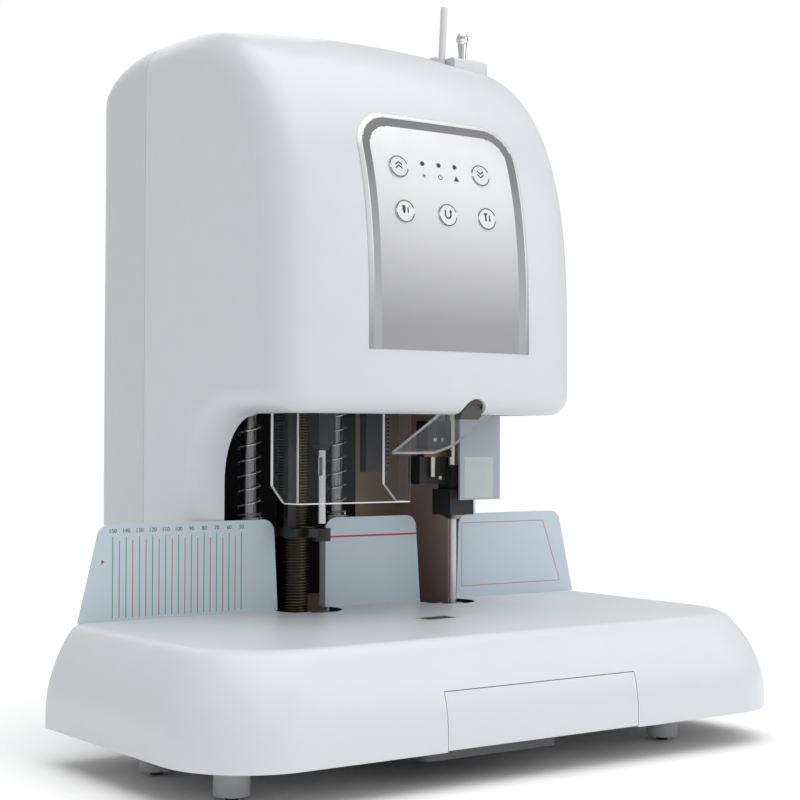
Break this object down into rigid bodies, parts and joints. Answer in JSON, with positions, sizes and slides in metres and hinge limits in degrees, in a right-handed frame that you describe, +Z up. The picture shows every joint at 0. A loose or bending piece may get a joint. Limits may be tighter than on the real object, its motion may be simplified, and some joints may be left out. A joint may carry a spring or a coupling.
{
  "type": "document riveting machine",
  "caption": "Electric desk machine that drills a hole through a stack of paper and closes a heated nylon tube in it, with a clear guard and a curved white head.",
  "frame": {"origin": "bottom centre of the whole machine, on the ground", "axes": "X to the machine's right, Y to its back, Z up"},
  "size_m": [0.48, 0.3832, 0.5391],
  "materials": {
    "shell": "satin",
    "cover": "satin",
    "plate": "satin",
    "panel": "satin",
    "key": "satin",
    "lens": "gloss",
    "grey": "matte",
    "dark": "matte",
    "black": "satin",
    "steel": "satin",
    "chrome": "gloss",
    "frame": "satin",
    "tan": "satin",
    "motor": "satin",
    "brass": "satin",
    "screw": "satin",
    "clear": "gloss",
    "shield": "matte",
    "nylon": "satin",
    "rubber": "matte",
    "board": "satin",
    "coil": "satin",
    "pad": "matte",
    "red": "gloss"
  },
  "bodies": {
    "machine": {"base_casing": "shell", "base_plate": "steel", "under_tray": "dark", "feet": "grey", "foot_pads": "rubber", "guide_plate_left": "plate", "guide_plate_centre": "plate", "guide_plate_right": "plate", "front_shell": "shell", "back_cover": "cover", "control_panel": "panel", "led_lenses": "lens", "feed_boss": "shell", "tube_cutter": "motor", "frame_left": "frame", "frame_right": "frame", "frame_back": "tan", "top_deck": "steel", "guide_rods": "steel", "presser_springs": "steel", "lift_motor": "motor", "press_motor": "motor", "ram_guide": "black", "anvil_bridge": "black", "drill_pad": "pad", "lower_die": "steel", "acrylic_guard": "clear", "guard_brackets": "steel", "hot_shield": "shield", "circuit_board": "board", "transformer": "coil", "power_inlet": "dark", "switch_frame": "dark", "fan_housing": "dark", "case_screws": "steel"},
    "drill_lift": {"drill_carriage": "black", "drill_motor": "motor"},
    "drill_spin": {"spindle": "black", "drill_bit": "steel"},
    "presser": {"presser_foot": "black"},
    "lift_screw_turn": {"lift_screw": "screw"},
    "press_screw_turn": {"press_screw": "steel"},
    "rivet_press": {"press_ram": "steel", "heater_block": "black", "nickel_cap": "chrome", "brass_clamp": "brass"},
    "needle_lift": {"guide_needle": "steel", "needle_rack": "dark"},
    "flap": {"acrylic_flap": "clear", "flap_tab": "dark"},
    "drawer": {"chip_drawer": "shell"},
    "button_up": {"key_up": "key"},
    "button_down": {"key_down": "key"},
    "button_drill": {"key_drill": "key"},
    "button_reset": {"key_reset": "key"},
    "button_rivet": {"key_rivet": "key"},
    "rocker": {"power_rocker": "red"},
    "fan": {"fan_rotor": "dark"},
    "feed_tube": {"nylon_tube": "nylon"},
    "lever": {"cutter_lever": "chrome"}
  },
  "joints": [
    {"name": "drill_lift", "type": "slide", "parent": "machine", "child": "drill_lift", "axis": [0, 0, -1], "range_m": [0, 0.062], "deforming": ["presser_springs"]},
    {"name": "drill_spin", "type": "hinge", "parent": "drill_lift", "child": "drill_spin", "pos_m": [-0.042, 0.0014, 0.238], "axis": [0, 0, 1], "continuous": true},
    {"name": "presser", "type": "slide", "parent": "machine", "child": "presser", "axis": [0, 0, -1], "range_m": [0, 0.04712]},
    {"name": "lift_screw_turn", "type": "hinge", "parent": "machine", "child": "lift_screw_turn", "pos_m": [-0.042, 0.0404, 0.03], "axis": [0, 0, 1], "range_deg": [0, 2240]},
    {"name": "rivet_press", "type": "slide", "parent": "machine", "child": "rivet_press", "axis": [0, 0, -1], "range_m": [0, 0.06]},
    {"name": "press_screw_turn", "type": "hinge", "parent": "machine", "child": "press_screw_turn", "pos_m": [0.076, 0.0384, 0.26], "axis": [0, 0, 1], "range_deg": [0, 2710]},
    {"name": "needle_lift", "type": "slide", "parent": "machine", "child": "needle_lift", "axis": [0, 0, 1], "range_m": [0, 0.066]},
    {"name": "flap", "type": "hinge", "parent": "machine", "child": "flap", "pos_m": [0.0385, -0.0716, 0.2348], "axis": [1, 0, 0], "range_deg": [-60, 0]},
    {"name": "drawer", "type": "slide", "parent": "machine", "child": "drawer", "axis": [0, -1, 0], "range_m": [0, 0.12]},
    {"name": "button_up", "type": "slide", "parent": "machine", "child": "button_up", "axis": [0, 0.9659, -0.2589], "range_m": [0, 0.0006], "stiffness_N_per_m": 2500},
    {"name": "button_down", "type": "slide", "parent": "machine", "child": "button_down", "axis": [0, 0.9658, -0.2592], "range_m": [0, 0.0006], "stiffness_N_per_m": 2500},
    {"name": "button_drill", "type": "slide", "parent": "machine", "child": "button_drill", "axis": [0, 0.9893, -0.1456], "range_m": [0, 0.0006], "stiffness_N_per_m": 2500},
    {"name": "button_reset", "type": "slide", "parent": "machine", "child": "button_reset", "axis": [0, 0.9894, -0.1451], "range_m": [0, 0.0006], "stiffness_N_per_m": 2500},
    {"name": "button_rivet", "type": "slide", "parent": "machine", "child": "button_rivet", "axis": [0, 0.9893, -0.1458], "range_m": [0, 0.0006], "stiffness_N_per_m": 2500},
    {"name": "rocker", "type": "hinge", "parent": "machine", "child": "rocker", "pos_m": [-0.0385, 0.1834, 0.0725], "axis": [1, 0, 0], "range_deg": [-10, 0]},
    {"name": "fan", "type": "hinge", "parent": "machine", "child": "fan", "pos_m": [0.058, 0.1774, 0.24], "axis": [0, 1, 0], "continuous": true},
    {"name": "feed_tube", "type": "slide", "parent": "machine", "child": "feed_tube", "axis": [-0.0558, 0, -0.9984], "range_m": [0, 0.016]},
    {"name": "lever", "type": "hinge", "parent": "machine", "child": "lever", "pos_m": [0.089, 0.0084, 0.466], "axis": [0, 1, 0], "range_deg": [0, 11]}
  ],
  "couplings": [
    {"joint": "presser", "follows": "drill_lift", "ratio": 0.76},
    {"joint": "lift_screw_turn", "follows": "drill_lift", "rad_per_m": 628.32},
    {"joint": "press_screw_turn", "follows": "rivet_press", "rad_per_m": 785.4}
  ]
}
